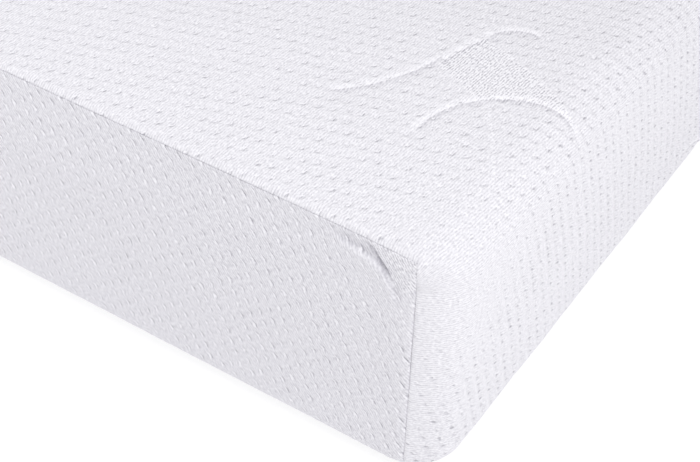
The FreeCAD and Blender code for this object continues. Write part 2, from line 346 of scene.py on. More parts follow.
def arc_reach(x, y, centre, first, last):
    """1 where the bearing from the centre is between two angles, 0 elsewhere, with soft ends."""
    bearing = np.arctan2(y - centre[1] * MM, x - centre[0] * MM)
    away = np.abs((bearing - radians((first + last) / 2) + pi) % (2 * pi) - pi)
    half = radians(abs(last - first) / 2)
    return 1 - smooth(half * 0.85, half * 1.05, away)


def figure(u, v):
    """Height of the figure's edges, and 1 inside its patch, 0 outside.

    An edge is a soft step: g e^(-g^2), where g is the distance from the line over EDGE_WIDTH."""
    x, y = figure_place(u, v)
    height = np.zeros(x.shape)
    for centre, radius, first, last, side in BOWS:
        gap = arc_gap(x, y, centre, radius)
        edge = EDGE_HEIGHT * side * gap / EDGE_WIDTH * np.exp(-(gap / EDGE_WIDTH) ** 2)
        height += edge * arc_reach(x, y, centre, first, last)
    inside = smooth(*PATCH_REACH, np.hypot(x, y))
    for line, way in PATCH_BOUNDS:
        inside *= smooth(-PATCH_SOFT, PATCH_SOFT, way * arc_gap(x, y, *line[:2]))
    return height, inside


# %% Seam allowances
def surface_normals(points):
    """Unit normals of a grid of points, from the cross product of its two directions."""
    along = np.gradient(points, axis=1)
    across = np.gradient(points, axis=0)
    normal = np.cross(along, across)
    return normal / np.maximum(np.linalg.norm(normal, axis=2, keepdims=True), 1e-12)


def turned_in(points, uv, outward, width=6 * MM, hidden=0.9 * MM):
    """The grid with a seam allowance added on every side: two more lines that fold inwards.

    outward is 1 where the grid's own normals point out of the mattress, and -1 where they point in.
    No line goes further from the middle than the edge it starts at."""
    normals = surface_normals(points) * outward
    grid = points
    for axis in (0, 1):
        ends = []
        for end in (0, -1):
            edge = np.take(grid, [end], axis=axis)
            inner = np.take(grid, [8 if end == 0 else -9], axis=axis)
            direction = inner - edge
            direction /= np.maximum(np.linalg.norm(direction, axis=2, keepdims=True), 1e-12)
            normal = np.take(normals, [end], axis=axis)
            lines = [edge - normal * share * width + direction * hidden for share in (0.5, 1.0)]
            for line in lines:
                line[..., :2] = np.sign(edge[..., :2]) * np.minimum(np.abs(line[..., :2]), np.abs(edge[..., :2]))
            ends.append(lines)
        grid = np.concatenate((ends[0][1], ends[0][0], grid, ends[1][0], ends[1][1]), axis=axis)
        two_more = [(2, 2) if way == axis else (0, 0) for way in range(3)]
        normals = np.pad(normals, two_more, mode="edge")
        uv = np.pad(uv, two_more, mode="edge")
    return grid, uv


def panel_object(name, points, uv, flip=False, **tags):
    """A cover panel from its grid of points and its cloth coordinates. Each tag is a number at each point."""
    points, uv = turned_in(points, uv, -1 if flip else 1)
    rows, columns = points.shape[:2]
    made = mesh_object(name, points, grid_faces(rows, columns), uv, flip)
    for tag, value in tags.items():
        layer = made.data.attributes.new(tag, "FLOAT", "POINT")
        layer.data.foreach_set("value", np.pad(value, 2, mode="edge").astype(np.float32).ravel())
    return made


# %% [markdown]
# ### Top panel
#
# One parameter runs along the mattress: up the head end, round the soft edge, along the top,
# round the foot edge and down to the base seam. The other runs across it, from seam to seam.

# %% Top panel along its length
END_TURN = END_RADIUS * pi / 2
END_WALL = DEPTH - END_RADIUS - BASE_RADIUS
BASE_ARC = BASE_RADIUS * asin(1 - BASE_SEAM_Z / BASE_RADIUS)
MID_U = HALF_L - END_RADIUS
ZIP_EDGE = 4.95 * MM
U_FOOT = END_TURN + END_WALL + BASE_ARC
U_HEAD = END_TURN + DEPTH - END_RADIUS - ZIP_Z - ZIP_EDGE
print(f"foot fall {U_FOOT:.4f}, head fall {U_HEAD:.4f}")


def end_profile(u):
    """Where the panel's centre line is, u metres of cloth past the start of the foot edge's rounding.

    Returns the distance past that start, the height, the turn of the surface from level (0) to
    upright (a right angle), and how far the base rounding has drawn the outline in."""
    turn_angle = np.clip(u / END_RADIUS, 0, pi / 2)
    below = np.clip(u - END_TURN, 0, END_WALL)
    base_angle = np.clip((u - END_TURN - END_WALL) / BASE_RADIUS, 0, pi / 2)
    reach = np.minimum(u, 0) + END_RADIUS * np.sin(turn_angle)
    height = DEPTH - END_RADIUS * (1 - np.cos(turn_angle)) - below - BASE_RADIUS * np.sin(base_angle)
    return reach, height, turn_angle, BASE_RADIUS * (1 - np.cos(base_angle))


def seam_depth(u):
    """How far in from the panel's centre line its seam lies, measured along the surface's normal.

    On the top it is the seam's drop. Round the end it follows the corner: it is what is left of the
    end radius when a ray from the rounding's centre meets the top seam or the upright seam first."""
    turn_angle = end_profile(u)[2]
    flat = drop_of_seam(MID_U + np.minimum(u, 0))
    seam_up = END_RADIUS - SEAM_DROP - SEAM_DROOP
    seam_out = END_RADIUS - SEAM_INSET
    ray_top = seam_up / np.maximum(np.cos(turn_angle), 1e-6)
    ray_side = seam_out / np.maximum(np.sin(turn_angle), 1e-6)
    sharp = 24  # the higher, the closer this is to the plain smaller one of the two
    nearest = (ray_top ** -sharp + ray_side ** -sharp) ** (-1 / sharp)
    return np.where(u < 0, flat, END_RADIUS - nearest)


def half_section(u, w):
    """Cross-section from the seam inwards: w metres of cloth from the seam at length u.

    Returns the distance in from the side plane and the depth below the centre line. The cloth turns
    through an arc whose radius suits the seam's depth there, then runs straight."""
    depth = seam_depth(u)
    radius = depth / (1 - sin(START_ANGLE))
    inset = end_profile(u)[3]
    arc = radius * (pi / 2 - START_ANGLE)
    angle = START_ANGLE + np.clip(w / radius, 0, pi / 2 - START_ANGLE)
    aside = radius - (radius - inset) * np.cos(angle) + np.maximum(w - arc, 0)
    deep = radius - (radius - inset) * np.sin(angle)
    return aside, deep, arc, radius


def half_widths(u):
    """Cloth from the centre line to the seam at length u."""
    _, _, arc, radius = half_section(u, 0 * u)
    return HALF_W - radius + arc


def top_point(u, v, foot):
    """The panel's smooth surface at cloth coordinates: u along, v across, in the foot or head half."""
    reach, height, turn_angle, _ = end_profile(u)
    aside, deep, _, _ = half_section(u, np.clip(half_widths(u) - np.abs(v), 0, None))
    side = np.where(v < 0, -1.0, 1.0)
    x = MID_U + reach - deep * np.sin(turn_angle)
    z = height - deep * np.cos(turn_angle)
    y = side * (HALF_W - aside)
    from_end = np.maximum(HALF_L - x, 0)
    level = np.cos(turn_angle)
    z = z + CROWN * level * (1 - np.exp(-aside / CROWN_REACH_SIDE)) * (1 - np.exp(-from_end / CROWN_REACH_END))
    upright = np.sin(turn_angle) * np.clip(1 - (2 * z / DEPTH - 1) ** 2, 0, 1)
    x = x + WALL_BULGE * upright * (1 - np.exp(-aside / BULGE_REACH))
    return np.stack((x * foot, y, z), axis=-1)


# %% Top panel mesh
EDGE_BAND = 24 * MM
FINE_FROM = -450 * MM
FINE_TO = 120 * MM
foot_places = marks((-MID_U, FINE_FROM, COARSE), (FINE_FROM, U_FOOT, FINE), seam_high=True)
head_places = marks((-MID_U, 0, COARSE), (0, END_TURN, 4 * MM), (END_TURN, U_HEAD, COARSE), seam_high=True)
width_inner = marks((-(HALF_W - EDGE_BAND), FINE_TO, FINE), (FINE_TO, HALF_W - EDGE_BAND, COARSE))
BAND_STEPS = np.array([0, 0.5, 1.0, 1.6, 2.3, 3.2, 4.4, 6.0, 8.0, 10.4, 13.2, 16.4, 19.8]) / 24


SLOT_ENDS = (407.5 * MM, 413.5 * MM)


def past_zip(across, along, last):
    """How far an edge beside the zip moves, to close the cover past the zip's ends: over SLOT_ENDS on
    each side it goes from nothing to the middle of the zip, and it eases off over the 20 mm before the edge."""
    closed = smooth(*SLOT_ENDS, np.abs(across))
    return (ZIP_EDGE - 0.2 * MM) * closed * smooth(last - 20 * MM, last, along)


def top_half(places, foot):
    """Grid of one half of the top panel, from the middle to its end, with its cloth coordinates."""
    half = half_widths(places)[:, None]
    inner = np.broadcast_to(width_inner, (len(places), len(width_inner)))
    band = (half - (HALF_W - EDGE_BAND)) * BAND_STEPS
    across = np.concatenate((-(half - band), inner, (half - band)[:, ::-1]), axis=1)
    along = np.broadcast_to(places[:, None], across.shape)
    if foot < 0:
        along = along + past_zip(across, along, U_HEAD)
    return top_point(along, across, foot), along, across


foot_grid, foot_u, foot_v = top_half(foot_places, 1)
head_grid, head_u, head_v = top_half(head_places, -1)
top_grid = np.concatenate((head_grid[::-1], foot_grid[1:]))
top_u = np.concatenate((-(2 * MID_U) - head_u[::-1], foot_u[1:]))
top_v = np.concatenate((head_v[::-1], foot_v[1:]))
print("top grid", top_grid.shape)


# %% Press the dimples and sink the seams
def seam_distance(u, v):
    """Cloth between a point and the panel's nearest seam."""
    ends = np.where(u < -MID_U, -(2 * MID_U) - u, u)
    last = np.where(u < -MID_U, U_HEAD, U_FOOT)
    return half_widths(ends) - np.abs(v), last - ends


side_gap, end_gap = seam_distance(top_u, top_v)
edge_gap = np.minimum(side_gap, end_gap)
normals = -surface_normals(top_grid)
raised, patch = figure(top_u, top_v)
meshed = smooth(FINE_FROM, FINE_FROM + 30 * MM, top_u) * (1 - smooth(FINE_TO - 30 * MM, FINE_TO, top_v))
near_corner = np.exp(-(np.hypot(top_u - 0.05, top_v + HALF_W - 0.02) / 0.07) ** 2)
uneven = (1 + 0.3 * waves(top_u, top_v, 0.12, 3)) * (1 - patch) * (1 - 0.6 * near_corner)
pressed = DIMPLE_DEPTH * meshed * uneven * dimple(top_u, top_v, TOP_ROWS) * smooth(1 * MM, 12 * MM, edge_gap)
swell = 0.5 * MM * waves(top_u, top_v, 0.09, 5) * smooth(0, 30 * MM, edge_gap)
on_seam = np.where(top_u > -MID_U, np.minimum(side_gap, end_gap), side_gap)
sink = SEAM_SINK * np.exp(-(on_seam / SEAM_SOFT) ** 2) * (0.35 + 0.65 * smooth(0, 0.02, top_u))
top_grid = top_grid + normals * (swell + raised * meshed - pressed - sink)[..., None]
top_panel = panel_object("top_cover", top_grid, np.stack((top_u, top_v), axis=-1), flip=True)
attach(top_panel, "root")
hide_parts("top_panel")

# %% [markdown]
# ### Long walls
#
# A wall is one grid too: along it, and up it from the base seam to the top seam. Its edges take
# the places of the top panel's seam, so the two meet on one line.

# %% Wall shape
seam_u = np.linspace(0, U_FOOT, 400)
seam_points = top_point(seam_u, -half_widths(seam_u), 1)
upright_seam = seam_points[seam_points[:, 2] < DEPTH - SEAM_DROP - SEAM_DROOP - 2 * MM][::-1]
WALL_CLOTH = BASE_ARC + DEPTH - SEAM_DROP - BASE_RADIUS


def corner_inset(z):
    """How far in from the side plane the upright seam is at height z, read off the top panel's seam."""
    return np.interp(z, upright_seam[:, 2], upright_seam[:, 1] + HALF_W)


def wall_point(x, s, side):
    """The wall's smooth surface: x along it, s metres of cloth up from the base seam.

    At both ends it is drawn in onto the upright seam, which curves under with the base rounding.
    Above that rounding the height is eased, so that the last row follows the drooping top seam."""
    base_angle = np.clip((BASE_ARC - s) / BASE_RADIUS, 0, pi / 2)
    inset = BASE_RADIUS * (1 - np.cos(base_angle))
    ease = (DEPTH - drop_of_seam(x) - BASE_RADIUS) / (DEPTH - SEAM_DROP - BASE_RADIUS)
    z = np.where(s < BASE_ARC, BASE_RADIUS * (1 - np.sin(base_angle)), BASE_RADIUS + (s - BASE_ARC) * ease)
    beyond = np.clip(np.abs(x) - (HALF_L - CORNER_RADIUS), 0, None)
    plan = CORNER_RADIUS - np.sqrt(CORNER_RADIUS ** 2 - beyond ** 2)
    rounding = plan * (corner_inset(z) - inset) / corner_inset(DEPTH / 2)
    drawn_in = np.where(z < DEPTH / 2, CORNER_X - np.interp(z, upright_seam[:, 2], upright_seam[:, 0]), 0)
    upright = np.clip(1 - (2 * z / DEPTH - 1) ** 2, 0, 1)
    bulge = WALL_BULGE * upright * (1 - np.exp(-(CORNER_X - np.abs(x)) / BULGE_REACH))
    x = x - np.sign(x) * drawn_in * smooth(CORNER_X - BULGE_REACH, CORNER_X, np.abs(x))
    return np.stack((x, side * (HALF_W - inset - rounding + bulge), z), axis=-1)


# %% [markdown]
# ### The pucker at the corner
#
# Where three panels meet, the wall's cloth is gathered a little. It stands up in a soft fold. Above
# the fold the cloth falls back under the top seam, in a shallow trough that narrows to a crease, and
# between the crease and the upright seam it lies flat. Long faint drapes fan out from the same
# place. The fold is gentle on its lower side and steep on its upper one, so its height is a bell
# curve with a different width on each side of a bent line. Little light gets into the trough, so
# each point also keeps a number for how shaded it is, which the material uses.

# %% Folds and drapes
def line_gap(x, z, line):
    """Distance to a bent line, positive on its right-hand side going from first to last, and the share gone."""
    best = np.full(x.shape, 1e9)
    share = np.zeros(x.shape)
    points = np.array(line) * MM
    lengths = np.hypot(*np.diff(points, axis=0).T)
    start = 0
    for (ax, az), (bx, bz), length in zip(points[:-1], points[1:], lengths):
        along = np.clip(((x - ax) * (bx - ax) + (z - az) * (bz - az)) / length ** 2, 0, 1)
        away = np.hypot(x - ax - along * (bx - ax), z - az - along * (bz - az))
        right_hand = (x - ax) * (bz - az) - (z - az) * (bx - ax)
        closer = away < np.abs(best)
        best = np.where(closer, away * np.sign(right_hand), best)
        share = np.where(closer, (start + along * length) / lengths.sum(), share)
        start += length
    return best, share


FOLD_LINE = [
    (-92, 190), (-77, 188.6), (-66, 187.2), (-56, 184.9), (-48.5, 181.5),
    (-42.7, 176), (-38.6, 169), (-35.5, 158), (-33.5, 142),
]
CREASE_LINE = [(-58.5, 194.5), (-53.7, 188.6), (-49, 182.8), (-44, 177), (-40, 171)]
SECOND_FOLD = [(-106, 152), (-86, 163), (-67, 172.4), (-49, 177)]


FOLD_OFFSET = 3.5 * MM
PUCKER_X, PUCKER_Z = -45 * MM, 192 * MM


def corner_pucker(x, z):
    """Outward height of the folds and drapes, how far into the flat pocket a place is, and its shade.

    x is measured from the end plane, and is negative. Below a line its gap is positive."""
    gap, share = line_gap(x, z, FOLD_LINE)
    held = smooth(0, 0.3, share) * (1 - smooth(0.6, 1, share))
    width = np.where(gap > FOLD_OFFSET, 10 * MM, 3.4 * MM)
    fold = 2.7 * MM * held * np.exp(-((gap - FOLD_OFFSET) / width) ** 2)
    above = np.exp(np.minimum(gap, 0) / (4.5 * MM)) * smooth(-1.2 * MM, 0.2 * MM, -gap)
    fold -= 1.5 * MM * held * above
    shade = 0.26 * held * above
    gap, share = line_gap(x, z, CREASE_LINE)
    behind = smooth(-0.2 * MM, 1.0 * MM, -gap) * smooth(0, 0.05, share)
    pocket = behind * (1 - smooth(-24 * MM, -20 * MM, x)) * smooth(163 * MM, 177 * MM, z)
    crease = np.exp(-((gap + 0.2 * MM) / (1.0 * MM)) ** 2) * smooth(0, 0.12, share) * (1 - smooth(0.7, 1, share))
    fold = fold - (1.0 * MM * behind * (1 - pocket) + 1.4 * MM) * crease
    shade = shade * (1 - 0.75 * pocket) + 0.42 * crease
    gap, share = line_gap(x, z, SECOND_FOLD)
    fold += 0.9 * MM * np.exp(-(gap / (5 * MM)) ** 2) * smooth(0, 0.4, share) * (1 - smooth(0.75, 1, share))
    spread = np.hypot(x - PUCKER_X, z - PUCKER_Z)
    angle = np.arctan2(z - PUCKER_Z, x - PUCKER_X)
    drapes = 0.9 * MM * np.sin(9 * angle + 14 * spread)
    drapes *= np.exp(-spread / (90 * MM)) * smooth(20 * MM, 50 * MM, spread)
    return fold + drapes, pocket, shade


# %% Wall meshes
FINEST = 1.0 * MM
UPPER_WALL = 132 * MM


def wall_object(name, side, seed):
    """One long wall with its dimples, drapes and sunk seams. The foot end's corner has the finest mesh."""
    near_foot = CORNER_X - 85 * MM
    x_places = marks((-CORNER_X, near_foot, FINE), (near_foot, CORNER_X, FINEST), seam_low=True, seam_high=True)
    s_places = marks((0, UPPER_WALL, FINE), (UPPER_WALL, WALL_CLOTH, FINEST), seam_low=True, seam_high=True)
    x, s = np.meshgrid(x_places, s_places)
    grid = wall_point(x, s, side)
    normals = surface_normals(grid) * (1 if side < 0 else -1)
    to_end = CORNER_X - np.abs(x)
    gap = np.minimum(np.minimum(to_end, s), WALL_CLOTH - s)
    pucker, pocket, shade = corner_pucker(x - HALF_L, grid[..., 2])
    head_pucker, _, head_shade = corner_pucker(-x - HALF_L, grid[..., 2])
    pucker += 0.6 * head_pucker
    shade += 0.6 * head_shade
    calm = np.exp(-(np.hypot(to_end, WALL_CLOTH - s - 15 * MM) / 0.045) ** 2)
    uneven = (1 + 0.3 * waves(x, s, 0.1, seed)) * (1 - 0.85 * calm) * (1 - pocket)
    pressed = 0.8 * DIMPLE_DEPTH * dimple(x, s, WALL_ROWS) * uneven * smooth(1 * MM, 10 * MM, gap)
    gathers = 0.10 * MM * np.sin(2 * pi * (x + 4 * MM * waves(x, 0 * x, 0.05, seed + 3)) / (7.5 * MM))
    gathers *= np.exp(-((WALL_CLOTH - s - 2 * MM) / (5 * MM)) ** 2)
    sink = SEAM_SINK * np.exp(-(gap / SEAM_SOFT) ** 2) * (0.35 + 0.65 * smooth(0, 8 * MM, WALL_CLOTH - s))
    swell = 0.5 * MM * waves(x, s, 0.08, seed + 1) * smooth(0, 30 * MM, gap)
    loose = smooth(0, 4 * MM, gap)
    grid = grid + normals * (swell + gathers + pucker * loose - pressed - sink)[..., None]
    made = panel_object(name, grid, np.stack((x, s), axis=-1), flip=side > 0, pocket=pocket, shade=shade, calm=calm)
    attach(made, "root")
    return made


front_wall = wall_object("front_wall", -1, 11)
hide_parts("side_panel_front")
back_wall = wall_object("back_wall", 1, 23)
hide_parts("side_panel_back")

# %% [markdown]
# ### Base cloth
#
# The underside is one plain woven cloth. Its edge turns up by a few millimetres to the base seam,
# and at the head end it carries on up to the zip. Its height over the plan comes from the distance
# past a rounded rectangle: nothing inside it, and then an arc of the base radius.

# %% Base cloth
CORNER_FLAT = HALF_L - CORNER_RADIUS
BASE_REACH = BASE_RADIUS * cos(asin(1 - BASE_SEAM_Z / BASE_RADIUS))
RISE_END = ZIP_Z - ZIP_EDGE
HEAD_ARC = BASE_RADIUS * pi / 2


def base_half_width(x):
    """How far the base seam is from the centre line at length x, round the foot end's corners."""
    past = np.clip(x - CORNER_FLAT, 0, None)
    seam_radius = CORNER_RADIUS - BASE_RADIUS + BASE_REACH
    return HALF_W - CORNER_RADIUS + np.sqrt(np.clip(seam_radius ** 2 - past ** 2, 0, None))


def base_point(w, share):
    """The base cloth: w metres past the start of the head end's rounding (negative on the flat), and
    share from -1 at the front seam to 1 at the back seam."""
    turn_angle = np.clip(w / BASE_RADIUS, 0, pi / 2)
    x = -(HALF_L - BASE_RADIUS) - np.minimum(w, 0) - BASE_RADIUS * np.sin(turn_angle)
    z = BASE_RADIUS * (1 - np.cos(turn_angle)) + np.clip(w - HEAD_ARC, 0, None)
    turned = smooth(0, pi / 2, turn_angle)
    depth = BASE_SEAM_Z + (SEAM_INSET - BASE_SEAM_Z) * turned
    radius = BASE_RADIUS + (CORNER_RADIUS - BASE_RADIUS) * turned
    start = np.arcsin(1 - depth / radius)
    edge = np.where(x > 0, base_half_width(x), HALF_W - radius * (1 - np.cos(start)))
    y = share * edge
    past = np.hypot(np.clip(x - CORNER_FLAT, 0, None), np.clip(np.abs(y) - (HALF_W - CORNER_RADIUS), 0, None))
    beyond_foot = np.clip(past - (CORNER_RADIUS - BASE_RADIUS), 0, BASE_REACH)
    beyond_side = np.clip(np.abs(y) - (HALF_W - radius), 0, radius * np.cos(start))
    beyond = np.where(x > 0, beyond_foot, beyond_side)
    bend = np.where(x > 0, BASE_RADIUS, radius)
    sunk = bend - np.sqrt(bend ** 2 - beyond ** 2)
    x = x + sunk * np.sin(turn_angle)
    z = z + sunk * np.cos(turn_angle)
    return np.stack((x, y, z), axis=-1)


foot_turn = np.linspace(0, pi / 2 - 0.05, 14)
foot_rows = CORNER_FLAT + (CORNER_RADIUS - BASE_RADIUS + BASE_REACH) * np.sin(foot_turn)
flat_rows = np.linspace(-(HALF_L - BASE_RADIUS), CORNER_FLAT, 93)[:-1]
rise_rows = HEAD_ARC + (RISE_END - BASE_RADIUS) * np.linspace(0, 1, 7)[1:]
head_rows = np.concatenate((np.linspace(0, HEAD_ARC, 12)[1:], rise_rows))
plan_rows = -(np.concatenate((foot_rows[::-1], flat_rows[::-1])) + HALF_L - BASE_RADIUS)
w_places = np.concatenate((plan_rows, head_rows))
side_shares = 1 - np.array([0, 0.6, 1.4, 2.6, 4.2, 6.4, 9.2, 12.6, 16.6, 21.4, 27.0, 34.0]) * MM / HALF_W
share_places = np.concatenate((-side_shares, np.linspace(-0.9, 0.9, 61), side_shares[::-1]))
base_w, base_share = np.meshgrid(w_places, share_places)
base_w = base_w + past_zip(base_share * HALF_W, base_w, base_w.max())
base_grid = base_point(base_w, base_share)


def gone_along(line):
    """Length gone at each point of a line."""
    return np.concatenate(([0], np.cumsum(np.linalg.norm(np.diff(line, axis=0), axis=1))))


def resample(line, places):
    """Points at the given lengths along a line."""
    gone = gone_along(line)
    return np.stack([np.interp(places, gone, line[:, axis]) for axis in range(3)], axis=1)


# At the head end the side edges are drawn onto the walls' seam: each point goes to the same share of
# the seam's length as it has of its own edge's, and the cloth beside it follows, less and less inwards.
DRAWN_FROM = -850 * MM
DRAWN_REACH = 14 * MM
side_edge = base_grid[-1]
drawn = side_edge[:, 0] < DRAWN_FROM
side_edge = side_edge[drawn]
run = np.linspace(-side_edge[0, 0], CORNER_X, 60)
rise = np.linspace(0, WALL_CLOTH / 2, 200)
wall_seam = np.concatenate((wall_point(-run, 0 * run, 1), wall_point(0 * rise - CORNER_X, rise, 1)[1:]))
wall_seam = wall_seam[wall_seam[:, 2] <= side_edge[-1, 2]]
edge_gone = gone_along(side_edge)
pull = resample(wall_seam, edge_gone / edge_gone[-1] * gone_along(wall_seam)[-1]) - side_edge
hold = np.exp(-((1 - np.abs(share_places)) * HALF_W / DRAWN_REACH) ** 2)
mirror = np.stack((0 * hold + 1, np.sign(share_places), 0 * hold + 1), axis=1)
base_grid[:, drawn] += (hold[:, None] * mirror)[:, None, :] * pull[None]
print(f"base edge drawn onto the wall seam by up to {np.linalg.norm(pull, axis=1).max() / MM:.1f} mm")
slack = 0.8 * MM * waves(base_w, base_share * HALF_W, 0.25, 41) * (1 - np.abs(base_share) ** 8) * (base_w < 0)
base_grid[..., 2] += np.abs(slack)
base_cover = panel_object("base_cover", base_grid, np.stack((-base_w, base_share * HALF_W), axis=-1))
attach(base_cover, "root")
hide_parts("bottom_panel")

# %% [markdown]
# ### Seams
#
# The panels are overlocked together from the inside. What shows is a groove with a row of thread
# at its bottom. Each row here is a thin tube along the seam whose radius rises and falls once per
# stitch.

# %% Seam threads
def thread(name, path, radius=0.5 * MM, stitch=2.6 * MM, sides=6):
    """A row of stitches along a path of points, as a tube that swells once per stitch.

    The path is measured along its length and resampled to five places per stitch."""
    length = gone_along(path)[-1]
    count = int(length / stitch * 5)
    places = np.linspace(0, length, count)
    line = resample(path, places)
    ahead = np.gradient(line, axis=0)
    ahead /= np.linalg.norm(ahead, axis=1, keepdims=True)
    steep = np.abs(ahead[:, 2:]) > 0.7
    side = np.cross(ahead, np.where(steep, (1.0, 0, 0), (0, 0, 1.0)))
    side /= np.linalg.norm(side, axis=1, keepdims=True)
    over = np.cross(side, ahead)
    angle = np.arange(sides) * 2 * pi / sides
    swell = radius * (0.82 + 0.18 * np.cos(2 * pi * places / stitch))
    swell[[0, -1]] = 0.02 * MM
    ring = np.cos(angle)[:, None] * side[:, None, :] + np.sin(angle)[:, None] * over[:, None, :]
    points = line[:, None, :] + ring * swell[:, None, None]
    uv = np.stack(np.broadcast_arrays(places[:, None], angle[None, :] * radius), axis=-1)
    made = mesh_object(name, points, tube_faces(count, sides), uv)
    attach(made, "root")
    return made


SEAM_BED = 1.3 * MM
seam_pieces = []
for side, word in ((-1, "front"), (1, "back")):
    run = np.linspace(-CORNER_X, CORNER_X, 600)
    top_line = wall_point(run, 0 * run + WALL_CLOTH, side) - np.array((0, side * SEAM_BED, 0.4 * MM))
    made = thread(f"top_thread_{word}", top_line)
    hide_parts(f"top_seam_{word}")
    seam_pieces.append(made)
    for end, end_word in ((-1, "head"), (1, "foot")):
        rise = np.linspace(0, WALL_CLOTH, 120)
        corner_line = wall_point(0 * rise + end * CORNER_X, rise, side)
        corner_line = corner_line - np.array((end * SEAM_BED * 0.35, side * SEAM_BED, 0))
        made = thread(f"corner_thread_{word}_{end_word}", corner_line)
        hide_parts(f"corner_seam_{word}_{end_word}")
        seam_pieces.append(made)

# The base seam goes along the front, round the foot end and back along the other side.
along_front = np.linspace(-CORNER_X, CORNER_FLAT, 80)
bend = np.linspace(0, pi / 2, 16)
bed_radius = CORNER_RADIUS - BASE_RADIUS + BASE_REACH - 1.4 * MM
bend_x = CORNER_FLAT + bed_radius * np.sin(bend)
bend_y = HALF_W - CORNER_RADIUS + bed_radius * np.cos(bend)
loop_x = np.concatenate((along_front, bend_x, bend_x[::-1], along_front[::-1]))
loop_y = np.concatenate((0 * along_front - bend_y[0], -bend_y, bend_y[::-1], 0 * along_front + bend_y[0]))
base_thread = thread("base_thread", np.stack((loop_x, loop_y, 0 * loop_x + BASE_SEAM_Z), axis=1))
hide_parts("bottom_seam")
seam_pieces.append(base_thread)

# %% Zip stitching
def short_stitches(name, y_places, z_place, x_place, length=2.4 * MM, thick=0.45 * MM):
    """A row of separate stitches along y: each is a small lozenge that dips into the cloth at both ends."""
    sides = 6
    ring = np.arange(sides) * 2 * pi / sides
    shares = np.array([-1, -0.6, 0, 0.6, 1])
    girth = thick * np.array([0.04, 0.8, 1, 0.8, 0.04])
    one = np.stack(np.broadcast_arrays(
        -0.9 * thick * (1 - np.abs(shares[:, None]) ** 3) + girth[:, None] * np.cos(ring),
        shares[:, None] * length / 2, girth[:, None] * np.sin(ring)), axis=-1)
    points = one[None] + np.stack((0 * y_places + x_place, y_places, 0 * y_places + z_place), axis=1)[:, None, None]
    first = np.arange(len(y_places)) * len(shares) * sides
    faces = (tube_faces(len(shares), sides)[None] + first[:, None, None]).reshape(-1, 4)
    made = mesh_object(name, points, faces, points[..., 1:])
    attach(made, "root")
    return made


for word in ("upper", "lower"):
    low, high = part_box(f"zip_stitch_{word}")
    spots = np.arange(low.y + 2 * MM, high.y - 2 * MM, 3.2 * MM)
    made = short_stitches(f"zip_stitching_{word}", spots, (low.z + high.z) / 2, low.x + 0.25 * MM)
    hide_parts(f"zip_stitch_{word}")
    seam_pieces.append(made)

for side, word in ((-1, "front"), (1, "back")):
    past_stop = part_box("zip_stop_open_end")[1].y + 1 * MM
    low_y, high_y = sorted((side * past_stop, side * (HALF_W - CORNER_RADIUS)))
    spots = np.arange(low_y, high_y, 2.6 * MM)
    made = short_stitches(f"zip_end_stitching_{word}", spots, ZIP_Z, -HALF_L + 0.9 * MM)
    seam_pieces.append(made)
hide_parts("zip_end_seams")
print(f"{len(seam_pieces)} rows of stitches")

# %% [markdown]
# ### Care label
#
# A blank satin ribbon, caught in the upright seam at the back. It follows the wall and stands off
# it a little more towards its free edge.

# %% Care label
label_low, label_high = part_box("care_label")
label_x, label_s = np.meshgrid(np.linspace(label_low.x - 1 * MM, label_high.x, 25), np.linspace(0, 1, 31))
label_width, label_tall = label_high.x - label_low.x, label_high.z - label_low.z
label_rise = BASE_ARC + label_low.z - BASE_RADIUS + label_s * label_tall
label_share = (label_x - label_low.x) / label_width
label_grid = wall_point(label_x, label_rise, 1)
lift = 0.5 * MM + 2.0 * MM * np.clip(label_share, 0, 1) ** 2 + 0.3 * MM * np.sin(5 * label_s + 3 * label_share)
label_grid[..., 1] += lift
label_uv = np.stack((label_x, label_s * label_tall), axis=-1)
label = mesh_object("care_ribbon", label_grid, grid_faces(*label_x.shape), label_uv, flip=True)
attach(label, "root")
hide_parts("care_label")

# %% [markdown]
# ### What is inside
#
# The two foam layers and the liner are closed in. Each is a stack of rounded outlines: the outline
# at a height is the plan, set in by what the edge's rounding takes off at that height. The foam is
# cut a little small, so that it stays clear of the cover's folds.

# %% Stack of outlines
def plan_ring(inset, head_gap=2 * MM, corner=42 * MM):
    """Points round the plan, set in by inset (and head_gap more at the head end), with rounded corners."""
    angle = np.linspace(0, pi / 2, 9)
    arcs = []
    for quarter in range(4):
        turned = angle + quarter * pi / 2
        side_x = 1 if quarter in (0, 3) else -1
        side_y = 1 if quarter in (0, 1) else -1
        reach_x = HALF_L - inset - corner - (head_gap if side_x < 0 else 0)
        centre = np.array((side_x * reach_x, side_y * (HALF_W - inset - corner)))
        arcs.append(centre + corner * np.stack((np.cos(turned), np.sin(turned)), axis=1))
    return np.concatenate(arcs)


